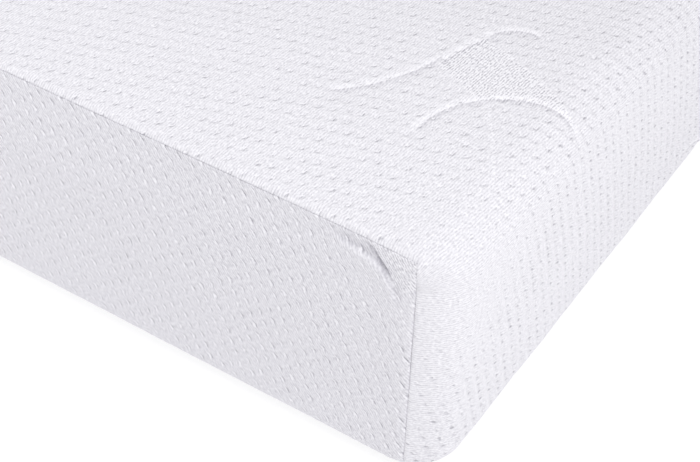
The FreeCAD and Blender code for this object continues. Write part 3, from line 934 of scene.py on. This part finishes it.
def stacked(name, node, low, high, cut, low_radius, high_radius, slit=False):
    """A closed form between two heights, with its own roundings at the bottom and the top.

    slit leaves a narrow opening in the underside instead of closing it."""
    turn_low = np.linspace(0, pi / 2, 7) if low_radius else np.zeros(1)
    turn_high = np.linspace(0, pi / 2, 9) if high_radius else np.zeros(1)
    turn_high = turn_high[::-1]
    heights = np.concatenate((low + low_radius * (1 - np.cos(turn_low)), high - high_radius * (1 - np.cos(turn_high))))
    insets = cut + np.concatenate((low_radius * (1 - np.sin(turn_low)), high_radius * (1 - np.sin(turn_high))))
    rings = [plan_ring(inset) for inset in insets]
    inner = [plan_ring(HALF_W * (1 - keep)) for keep in (0.3, 0.6, 0.9)]
    rings = [*inner, *rings, *inner[::-1]]
    heights = np.concatenate((np.full(3, heights[0]), heights, np.full(3, heights[-1])))
    count = len(rings[0])
    points = np.concatenate([np.column_stack((ring, np.full(count, z))) for ring, z in zip(rings, heights)])
    start = np.arange((len(rings) - 1) * count)
    ahead = start - start % count + (start + 1) % count
    quads = np.stack((start, ahead, ahead + count, start + count), axis=-1)
    made = mesh_object(name, points, quads, points[:, :2])
    ends = bmesh.new()
    ends.from_mesh(made.data)
    ends.verts.ensure_lookup_table()
    total = len(points)
    lids = [range(total - count, total)] if slit else [range(count - 1, -1, -1), range(total - count, total)]
    for lid in lids:
        ends.faces.new([ends.verts[i] for i in lid])
    ends.to_mesh(made.data)
    ends.free()
    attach(made, "root")
    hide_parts(node)
    return made


# %% Inside
layer_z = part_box("memory_foam_layer")[0].z
foam_top = stacked("comfort_foam", "memory_foam_layer", layer_z, DEPTH - 3.8 * MM, 5.5 * MM, 0.0, 30 * MM)
foam_low = stacked("support_foam", "base_foam", 3.8 * MM, layer_z, 5.5 * MM, 18 * MM, 0.0)
liner = stacked("liner_bag", "inner_liner", 3.0 * MM, DEPTH - 3.0 * MM, 4.7 * MM, 19 * MM, 31 * MM, slit=True)

# %% [markdown]
# ## Knitted cloth
#
# The cover is a double knit. Up close it has three layers of detail: the dimples, each with a
# painted highlight fleck and a painted shaded dip; fine ribs about two millimetres apart; and loose fibres. Each
# layer is a shader node group, so that the walls, the top and the seams can share them.

# %% Node helpers
class Wiring:
    """Short calls that add shader nodes to one tree and join them."""

    def __init__(self, tree):
        self.tree = tree

    def put(self, socket, value):
        """Links value to the socket if it is a socket itself, and sets it if it is a number."""
        if isinstance(value, bpy.types.NodeSocket):
            self.tree.links.new(value, socket)
        else:
            socket.default_value = value

    def add(self, kind, values=(), **settings):
        """A node of that kind. values go to its inputs, by number or by name."""
        node = self.tree.nodes.new(kind)
        for name, value in settings.items():
            setattr(node, name, value)
        pairs = values.items() if isinstance(values, dict) else enumerate(values)
        for where, value in pairs:
            self.put(node.inputs[where], value)
        return node

    def math(self, operation, *values):
        return self.add("ShaderNodeMath", values, operation=operation).outputs[0]

    def times(self, first, *others):
        """The product of several values."""
        for other in others:
            first = self.math("MULTIPLY", first, other)
        return first

    def total(self, first, *others):
        """The sum of several values."""
        for other in others:
            first = self.math("ADD", first, other)
        return first

    def vector(self, operation, first, second):
        second_input = 3 if operation == "SCALE" else 1
        node = self.add("ShaderNodeVectorMath", {0: first, second_input: second}, operation=operation)
        return node.outputs[1] if operation in ("DOT_PRODUCT", "DISTANCE") else node.outputs[0]

    def noise(self, place, scale, detail=2.0, roughness=0.5):
        values = {"Vector": place, "Scale": scale, "Detail": detail, "Roughness": roughness}
        return self.add("ShaderNodeTexNoise", values).outputs["Fac"]

    def ramp(self, value, low, high, out_low=0.0, out_high=1.0):
        """A smooth step from out_low, where value is low, to out_high, where it is high."""
        values = (value, low, high, out_low, out_high)
        return self.add("ShaderNodeMapRange", values, interpolation_type="SMOOTHSTEP").outputs[0]

    def bell(self, value, width):
        """1 where value is 0, falling off on both sides: e to the power of minus (value / width) squared."""
        ratio = self.math("DIVIDE", value, width)
        return self.math("EXPONENT", self.times(ratio, ratio, -1.0))

    def mix_colour(self, factor, first, second):
        values = {0: factor, 6: first, 7: second}
        return self.add("ShaderNodeMix", values, data_type="RGBA").outputs[2]

    def group(self, tree, **values):
        """The outputs of node group tree, with its named inputs set or linked. A _ in a name is a space."""
        node = self.tree.nodes.new("ShaderNodeGroup")
        node.node_tree = tree
        for name, value in values.items():
            self.put(node.inputs[name.replace("_", " ")], value)
        return node.outputs


def new_group(name, inputs, outputs):
    """An empty shader node group. inputs and outputs are words such as "Cloth:vector Radius:number"."""
    tree = bpy.data.node_groups.new(name, "ShaderNodeTree")
    kinds = {"number": "NodeSocketFloat", "vector": "NodeSocketVector"}
    for ends, way in ((inputs, "INPUT"), (outputs, "OUTPUT")):
        for end in ends.split():
            label, kind = end.split(":")
            tree.interface.new_socket(label.replace("_", " "), in_out=way, socket_type=kinds[kind])
    source = tree.nodes.new("NodeGroupInput")
    sink = tree.nodes.new("NodeGroupOutput")
    print(f"node group {name}")
    return Wiring(tree), source.outputs, sink.inputs


# %% [markdown]
# ### Nearest lattice point
#
# Both the dimples and the figure repeat on a lattice. This group writes a place in steps of the
# lattice's two rows, takes off the nearest whole steps, and turns what is left back into a
# distance from the nearest lattice point.

# %% Lattice group
wires, given, result = new_group(
    "nearest_point", "Cloth:vector Row_A:vector Row_B:vector Step_A:vector Step_B:vector",
    "Offset:vector Swelling:number",
)
step_a = wires.vector("DOT_PRODUCT", given["Cloth"], given["Step A"])
step_b = wires.vector("DOT_PRODUCT", given["Cloth"], given["Step B"])
part_a = wires.math("SUBTRACT", step_a, wires.math("ROUND", step_a, 0.0))
part_b = wires.math("SUBTRACT", step_b, wires.math("ROUND", step_b, 0.0))
along_a = wires.vector("SCALE", given["Row A"], part_a)
along_b = wires.vector("SCALE", given["Row B"], part_b)
wires.put(result["Offset"], wires.vector("ADD", along_a, along_b))
phases = (step_a, step_b, wires.math("SUBTRACT", step_a, step_b))
cosines = [wires.math("COSINE", wires.times(phase, 2 * pi)) for phase in phases]
hollow = wires.math("DIVIDE", wires.total(*cosines, 1.5), 4.5)
wires.put(result["Swelling"], wires.math("SUBTRACT", 1.0, hollow))
lattice_group = wires.tree


def lattice(wires, cloth, rows):
    """Outputs of the lattice group for two rows of a lattice."""
    steps = np.linalg.inv(rows)
    values = {"Row_A": rows[0], "Row_B": rows[1], "Step_A": steps[:, 0], "Step_B": steps[:, 1]}
    values = {name: (*pair, 0) for name, pair in values.items()}
    return wires.group(lattice_group, Cloth=cloth, **values)


# %% [markdown]
# ### Ribs and loops
#
# A rib is a column of stitches. The group makes three things from two directions: soft ribs across
# the columns, short streaks that are stretched along them, and here and there a brighter loop.

# %% Knit group
wires, given, result = new_group(
    "knit_ribs", "Cloth:vector Across:vector Along:vector Rib_Width:number Loop_Length:number",
    "Height:number Loop:number Fibre:number",
)
wander = wires.noise(given["Cloth"], 300.0, 2.0)
across = wires.math("DIVIDE", wires.vector("DOT_PRODUCT", given["Cloth"], given["Across"]), given["Rib Width"])
along = wires.math("DIVIDE", wires.vector("DOT_PRODUCT", given["Cloth"], given["Along"]), given["Loop Length"])
columns = wires.total(across, wires.times(wander, 0.9))
rib = wires.total(wires.times(wires.math("SINE", wires.times(columns, 2 * pi)), 0.5), 0.5)
stretched = wires.add("ShaderNodeCombineXYZ", (wires.times(across, 1.5), along, 0.0)).outputs[0]
streak = wires.noise(stretched, 1.0, 1.5, 0.6)
apart = (wires.times(across, 0.8), wires.total(wires.times(along, 0.9), 7.3), 3.1)
loops = wires.add("ShaderNodeCombineXYZ", apart).outputs[0]
height = wires.total(wires.times(rib, 0.45), wires.times(wires.ramp(streak, 0.32, 0.68), 0.55))
wires.put(result["Height"], height)
wires.put(result["Loop"], wires.ramp(wires.noise(loops, 1.0, 1.0), 0.60, 0.72))
wires.put(result["Fibre"], wires.noise(given["Cloth"], 2100.0, 2.0, 0.7))
knit_group = wires.tree

# %% [markdown]
# ### Arc lines
#
# The figure's lines are arcs. The group gives the distance from a circle, how far round it a place
# is, and a mask that is 1 only between the arc's two ends.

# %% Arc group
wires, given, result = new_group(
    "arc_line", "Cloth:vector Centre:vector Radius:number Middle:vector Narrow:number Wide:number",
    "Gap:number Reach:number Along:number",
)
spoke = wires.vector("SUBTRACT", given["Cloth"], given["Centre"])
away = wires.vector("DISTANCE", given["Cloth"], given["Centre"])
wires.put(result["Gap"], wires.math("SUBTRACT", away, given["Radius"]))
bearing = wires.add("ShaderNodeVectorMath", (spoke,), operation="NORMALIZE").outputs[0]
facing = wires.vector("DOT_PRODUCT", bearing, given["Middle"])
wires.put(result["Reach"], wires.ramp(facing, given["Wide"], given["Narrow"]))
split = wires.add("ShaderNodeSeparateXYZ", (spoke,)).outputs
wires.put(result["Along"], wires.times(wires.math("ARCTAN2", split[1], split[0]), given["Radius"]))
arc_group = wires.tree


def arc(wires, cloth, centre, radius, first, last, *_):
    """Outputs of the arc group for one of the figure's lines."""
    halfway = radians((first + last) / 2)
    half = radians(abs(last - first) / 2)
    place = (centre[0] * MM, centre[1] * MM, 0)
    values = {"Centre": place, "Radius": radius * MM, "Middle": (cos(halfway), sin(halfway), 0)}
    return wires.group(arc_group, Cloth=cloth, Narrow=cos(half * 0.9), Wide=cos(half * 1.05), **values)


# %% Figure group
wires, given, result = new_group("figure", "Cloth:vector", "Crease:number Ridge:number Dots:number Patch:number")
# Crease is painted shade on the low side of each bow's edge, Ridge a painted highlight on its raised side, and Dots a
# painted highlight on the dotted lines.
crease, ridge, dots = 0.0, 0.0, 0.0
for bow in BOWS:
    line = arc(wires, given["Cloth"], *bow)
    step = wires.ramp(wires.times(line["Gap"], bow[4]), -0.5 * MM, 0.5 * MM)
    low_side = wires.times(wires.bell(line["Gap"], 2.6 * MM), line["Reach"], wires.math("SUBTRACT", 1.0, step))
    crease = wires.math("MAXIMUM", crease, low_side)
    ridge = wires.math("MAXIMUM", ridge, wires.times(wires.bell(line["Gap"], 4.5 * MM), line["Reach"], step))
for row in DOTTED:
    line = arc(wires, given["Cloth"], *row)
    beat = wires.ramp(wires.math("COSINE", wires.times(line["Along"], 2 * pi / (4.6 * MM))), -0.1, 0.7)
    dots = wires.math("MAXIMUM", dots, wires.times(wires.bell(line["Gap"], 1.0 * MM), line["Reach"], beat))
bounds = []
for line, way in PATCH_BOUNDS:
    gap = arc(wires, given["Cloth"], *line)["Gap"]
    bounds.append(wires.ramp(wires.times(gap, way), -PATCH_SOFT, PATCH_SOFT))
near = wires.ramp(wires.vector("DISTANCE", given["Cloth"], (0, 0, 0)), *PATCH_REACH)
wires.put(result["Crease"], crease)
wires.put(result["Ridge"], ridge)
wires.put(result["Dots"], dots)
wires.put(result["Patch"], wires.times(near, *bounds))
figure_group = wires.tree


# %% [markdown]
# ### The cover's material
#
# Everything is small and pale here, so the cloth is drawn by shade rather than by colour: the
# base is one cool white, the dips and the valleys between ribs are a little darker because less
# light gets into them, and the bump does the rest.

# %% Cover material
CLOTH_WHITE = (0.93, 0.92, 0.965)
CLOTH_SHADE = (0.48, 0.47, 0.52)
RIB_WIDTH = 1.85 * MM
LOOP_LENGTH = 2.6 * MM


def unit(angle):
    """A unit direction in cloth coordinates, turned anticlockwise from u by an angle in degrees."""
    return (cos(radians(angle)), sin(radians(angle)), 0.0)


def knit_material(name, rows, mark_angle, mark_size, shade_away, rib_angle, look, figured):
    """The dimpled knit for one panel.

    rows are the lattice's two rows. A mark is a bright fleck, a painted highlight, with a painted shaded place beside
    it, where the surface dips. mark_angle is its direction in cloth coordinates, mark_size its half length and half
    width, and shade_away how far aside the painted shade lies. look holds the strength of each layer: shade,
    the highlight fleck, valley, rib, hatch, loop, and tone for the whole. figured says whether the panel carries the
    knitted figure; one that doesn't is a wall, and has the pocket, painted shade and calm of its corners."""
    material, tree, shader = plain_material(name, CLOTH_WHITE, 0.88)
    wires = Wiring(tree)
    cloth = wires.add("ShaderNodeUVMap", uv_map="cloth").outputs[0]
    jitter = wires.add("ShaderNodeTexNoise", {"Vector": cloth, "Scale": 60.0, "Detail": 1.0}).outputs["Color"]
    shift = wires.vector("SCALE", wires.vector("SUBTRACT", jitter, (0.5, 0.5, 0.5)), 2.4 * MM)
    found = lattice(wires, wires.vector("ADD", cloth, shift), rows)
    across = wires.vector("DOT_PRODUCT", found["Offset"], unit(mark_angle + 90))
    along = wires.vector("DOT_PRODUCT", found["Offset"], unit(mark_angle))
    long_bell = wires.bell(along, mark_size[0])
    # The fleck is a painted highlight on each dimple's raised edge; shade is the painted shade in the dip beside it.
    highlight_fleck = wires.times(wires.bell(along, 0.8 * mark_size[0]), wires.bell(across, mark_size[1]))
    shade = wires.times(long_bell, wires.bell(wires.total(across, shade_away), 0.75 * abs(shade_away)))
    hatch = wires.times(long_bell, wires.bell(wires.total(across, 0.5 * shade_away), 1.6 * MM))
    ribs = wires.group(
        knit_group, Cloth=cloth, Across=unit(rib_angle + 90), Along=unit(rib_angle),
        Rib_Width=RIB_WIDTH, Loop_Length=LOOP_LENGTH,
    )
    strength = wires.ramp(wires.noise(cloth, 70.0, 2.0), 0.35, 0.62, 0.35 if figured else 0.45, 1.0)
    if figured:
        placed = wires.vector("SUBTRACT", cloth, (*FIGURE_PLACE, 0))
        drawn = wires.group(figure_group, Cloth=lattice(wires, placed, FIGURE_ROWS)["Offset"])
        plain = wires.math("SUBTRACT", 1.0, drawn["Patch"])
        folded = wires.add("ShaderNodeSeparateXYZ", (cloth,)).outputs
        from_middle = wires.math("ABSOLUTE", wires.total(folded[0], MID_U), 0.0)
        from_end = wires.math("SUBTRACT", from_middle, MID_U + 50 * MM)
        from_side = wires.math("SUBTRACT", wires.math("ABSOLUTE", folded[1], 0.0), HALF_W - 20 * MM)
        squares = wires.total(wires.times(from_end, from_end), wires.times(from_side, from_side))
        corner_gap = wires.math("SQRT", squares)
        strength = wires.times(strength, plain, wires.ramp(corner_gap, 0.02, 0.11, 0.25, 1.0))
        coarse = wires.total(1.0, wires.times(drawn["Patch"], 1.4))
        # The figure's crease is painted shade and its ridge and dots painted highlight; the same values also set the
        # figure's relief.
        painted_shade_and_highlight = wires.total(
            wires.times(drawn["Crease"], 0.30), wires.times(drawn["Dots"], -0.25), wires.times(drawn["Ridge"], -0.20),
        )
    else:
        pocket = wires.add("ShaderNodeAttribute", attribute_name="pocket").outputs["Fac"]
        # On a wall this is the painted shade of the corner pucker's trough and crease.
        painted_shade_and_highlight = wires.add("ShaderNodeAttribute", attribute_name="shade").outputs["Fac"]
        coarse = wires.total(1.0, wires.times(pocket, 1.0))
        calm = wires.add("ShaderNodeAttribute", attribute_name="calm").outputs["Fac"]
        kept = wires.math("SUBTRACT", 1.0, wires.times(calm, 0.7))
        strength = wires.times(strength, wires.math("SUBTRACT", 1.0, pocket), kept)
    highlight_fleck = wires.times(highlight_fleck, strength)
    shade = wires.times(shade, strength)
    coarse = wires.total(coarse, wires.times(hatch, strength, look["hatch"]))
    hollow = wires.times(wires.math("SUBTRACT", 1.0, found["Swelling"]), strength)
    valley = wires.math("SUBTRACT", 1.0, ribs["Height"])
    dark = wires.total(
        wires.times(shade, look["shade"]), wires.times(highlight_fleck, -look["highlight_fleck"]), wires.times(hollow, look["valley"]),
        wires.times(wires.total(valley, -0.5), coarse, look["rib"]), look["tone"],
        wires.times(ribs["Fibre"], 0.12), wires.times(ribs["Loop"], -look["loop"]), painted_shade_and_highlight,
    )
    colour = wires.mix_colour(wires.math("MAXIMUM", dark, 0.0), (*CLOTH_WHITE, 1), (*CLOTH_SHADE, 1))
    tree.links.new(colour, shader.inputs["Base Color"])
    relief = wires.total(
        wires.times(highlight_fleck, 0.5), wires.times(shade, -0.8), wires.times(ribs["Height"], 0.26),
        wires.times(ribs["Loop"], 0.25), wires.times(ribs["Fibre"], 0.10),
        wires.times(found["Swelling"], strength, 0.8), wires.times(painted_shade_and_highlight, -0.7) if figured else 0.0,
    )
    bump = wires.add("ShaderNodeBump", {"Height": relief, "Strength": 1.0, "Distance": 0.6 * MM})
    tree.links.new(bump.outputs[0], shader.inputs["Normal"])
    tree.links.new(wires.ramp(ribs["Fibre"], 0.2, 0.8, 0.82, 0.95), shader.inputs["Roughness"])
    shader.inputs["Specular IOR Level"].default_value = 0.25
    shader.inputs["Sheen Weight"].default_value = 0.1
    shader.inputs["Sheen Roughness"].default_value = 0.5
    print(f"material {name}: {len(tree.nodes)} nodes")
    return material


# In each look, shade, valley and rib set how strong the painted shade is in each dimple's dip, in its hollow and
# between the ribs, hatch strengthens the ribs' painted shade inside each mark, and the fleck strength sets each
# dimple's painted highlight. tone is an even darkness over the whole panel; the walls' higher tone paints them a
# little darker than the top, as shade.
TOP_LOOK = {"shade": 0.45, "highlight_fleck": 0.70, "valley": 0.06, "rib": 0.62, "hatch": 1.2, "loop": 0.20, "tone": 0.23}
WALL_LOOK = {"shade": 0.58, "highlight_fleck": 1.35, "valley": 0.14, "rib": 0.56, "hatch": 1.2, "loop": 0.14, "tone": 0.32}
top_panel.data.materials.append(
    knit_material("knit_top", TOP_ROWS, 52, (1.9 * MM, 0.55 * MM), 1.35 * MM, 86, TOP_LOOK, True)
)
wall_knit = knit_material("knit_wall", WALL_ROWS, 125, (2.5 * MM, 0.75 * MM), 1.1 * MM, 125, WALL_LOOK, False)
front_wall.data.materials.append(wall_knit)
back_wall.data.materials.append(wall_knit)

# %% [markdown]
# ### Woven and spun materials
#
# The base cloth, the zip tape, the label, the liner and the threads are all made of crossing or
# twisted yarns. One group makes a weave: two sets of yarns that take turns on top. Its two
# directions are given in object coordinates or in the piece's own cloth coordinates.

# %% Weave group
wires, given, result = new_group(
    "weave", "Place:vector Warp:vector Weft:vector Yarn:number Twill:number", "Height:number Shade:number"
)
warp = wires.math("DIVIDE", wires.vector("DOT_PRODUCT", given["Place"], given["Warp"]), given["Yarn"])
weft = wires.math("DIVIDE", wires.vector("DOT_PRODUCT", given["Place"], given["Weft"]), given["Yarn"])
shifted = wires.total(warp, wires.times(weft, given["Twill"]))
over = wires.times(wires.math("SINE", wires.times(shifted, pi)), wires.math("SINE", wires.times(weft, pi)))
ridge_a = wires.math("ABSOLUTE", wires.math("SINE", wires.times(warp, pi)), 0.0)
ridge_b = wires.math("ABSOLUTE", wires.math("SINE", wires.times(weft, pi)), 0.0)
chosen = wires.ramp(over, -0.2, 0.2)
blend = wires.total(wires.times(ridge_a, chosen), wires.times(ridge_b, wires.math("SUBTRACT", 1.0, chosen)))
wires.put(result["Height"], blend)
fuzz = wires.noise(given["Place"], 900.0, 3.0)
wires.put(result["Shade"], wires.total(wires.times(blend, 0.7), wires.times(fuzz, 0.3)))
weave_group = wires.tree


def woven_material(name, light, shade, yarn, twill, warp, weft, uv, depth, roughness):
    """A cloth of crossing yarns. uv says whether it reads the piece's cloth coordinates or its object ones."""
    material, tree, shader = plain_material(name, light, roughness)
    wires = Wiring(tree)
    if uv:
        place = wires.add("ShaderNodeUVMap", uv_map="cloth").outputs[0]
    else:
        place = wires.add("ShaderNodeTexCoord").outputs["Object"]
    cloth = wires.group(weave_group, Place=place, Warp=warp, Weft=weft, Yarn=yarn, Twill=twill)
    patchy = wires.noise(place, 35.0, 3.0)
    mix = wires.math("SUBTRACT", wires.total(1.0, wires.times(patchy, 0.25)), cloth["Shade"])
    tree.links.new(wires.mix_colour(mix, (*light, 1), (*shade, 1)), shader.inputs["Base Color"])
    bump = wires.add("ShaderNodeBump", {"Height": cloth["Height"], "Strength": 0.8, "Distance": depth})
    tree.links.new(bump.outputs[0], shader.inputs["Normal"])
    tree.links.new(wires.ramp(patchy, 0.3, 0.7, roughness - 0.06, roughness + 0.05), shader.inputs["Roughness"])
    shader.inputs["Specular IOR Level"].default_value = 0.3
    print(f"material {name}: {len(tree.nodes)} nodes")
    return material


PLAN = ((1, 0, 0), (0, 1, 0))
UPRIGHT = ((0, 1, 0), (0, 0, 1))
base_cloth = woven_material(
    "base_cloth", (0.80, 0.80, 0.83), (0.55, 0.55, 0.58), 1.1 * MM, 0.0, *PLAN, True, 0.3 * MM, 0.85)
base_cover.data.materials.append(base_cloth)
thread_white = woven_material(
    "thread_white", (0.86, 0.85, 0.89), (0.55, 0.54, 0.58), 0.55 * MM, 1.0, *PLAN, True, 0.2 * MM, 0.7)
for piece in seam_pieces:
    piece.data.materials.append(thread_white)
satin = woven_material(
    "label_satin", (0.90, 0.90, 0.91), (0.75, 0.75, 0.77), 0.35 * MM, 4.0, *PLAN, True, 0.06 * MM, 0.42)
label.data.materials.append(satin)
tape_cloth = woven_material(
    "zip_tape_cloth", (0.86, 0.86, 0.87), (0.60, 0.60, 0.62), 0.8 * MM, 1.0, *UPRIGHT, False, 0.2 * MM, 0.75)
liner_cloth = woven_material(
    "liner_stockinette", (0.88, 0.87, 0.90), (0.70, 0.69, 0.72), 0.7 * MM, 0.5, *PLAN, False, 0.15 * MM, 0.85)
liner.data.materials.append(liner_cloth)

# %% [markdown]
# ### Foam, coil and metal
#
# Foam is a mass of open cells, so its surface is the pattern of distances to scattered points. The
# nylon coil is smooth with a fine haze, and the nickel of the slider is brushed along its length
# and dulled in patches by handling.

# %% Foam and hard materials
def foam_material(name, light, shade, cells):
    """Open-cell foam with that many cells per metre."""
    material, tree, shader = plain_material(name, light, 0.9)
    wires = Wiring(tree)
    place = wires.add("ShaderNodeTexCoord").outputs["Object"]
    pores = wires.add("ShaderNodeTexVoronoi", {"Vector": place, "Scale": cells}).outputs["Distance"]
    # The pores are painted darker, as shade inside them; the noise adds a random tone.
    tone = wires.total(wires.times(pores, 0.6), wires.times(wires.noise(place, 12.0, 3.0), 0.4))
    tree.links.new(wires.mix_colour(tone, (*shade, 1), (*light, 1)), shader.inputs["Base Color"])
    bump = wires.add("ShaderNodeBump", {"Height": pores, "Strength": 0.7, "Distance": 0.5 * MM})
    tree.links.new(bump.outputs[0], shader.inputs["Normal"])
    print(f"material {name}: {cells:.0f} cells per metre")
    return material


def hard_material(name, light, shade, roughness, stretch, metal):
    """Nylon or metal with fine lines; stretch squeezes the noise in each direction."""
    material, tree, shader = plain_material(name, light, roughness[0])
    wires = Wiring(tree)
    place = wires.add("ShaderNodeTexCoord").outputs["Object"]
    squeezed = wires.add("ShaderNodeVectorMath", (place, stretch), operation="MULTIPLY").outputs[0]
    lines = wires.noise(squeezed, 1.0, 4.0, 0.65)
    patchy = wires.noise(place, 160.0, 3.0)
    tone = wires.total(wires.times(lines, 0.5), wires.times(patchy, 0.5))
    tree.links.new(wires.mix_colour(tone, (*light, 1), (*shade, 1)), shader.inputs["Base Color"])
    tree.links.new(wires.ramp(tone, 0.3, 0.7, *roughness), shader.inputs["Roughness"])
    bump = wires.add("ShaderNodeBump", {"Height": lines, "Strength": 0.25, "Distance": 0.05 * MM})
    tree.links.new(bump.outputs[0], shader.inputs["Normal"])
    shader.inputs["Metallic"].default_value = metal
    print(f"material {name}: metallic {metal}")
    return material


coil = hard_material("zip_coil", (0.86, 0.86, 0.87), (0.70, 0.70, 0.72), (0.35, 0.5), (900, 500, 900), 0.0)
nickel = hard_material("zip_nickel", (0.78, 0.78, 0.79), (0.55, 0.55, 0.57), (0.22, 0.4), (2500, 120, 2500), 1.0)
foam_top.data.materials.append(foam_material("memory_foam", (0.88, 0.84, 0.70), (0.72, 0.68, 0.54), 900.0))
foam_low.data.materials.append(foam_material("base_foam", (0.84, 0.86, 0.89), (0.66, 0.68, 0.72), 500.0))
worn = {
    "zip_tape_upper": tape_cloth, "zip_tape_lower": tape_cloth,
    "zip_teeth_upper": coil, "zip_teeth_lower": coil,
    "zip_stop_closed_end": nickel, "zip_stop_open_end": nickel, "zip_slider": nickel, "zip_pull": nickel,
}
for node, material in worn.items():
    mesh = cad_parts[node].data
    mesh.materials.clear()
    mesh.materials.append(material)
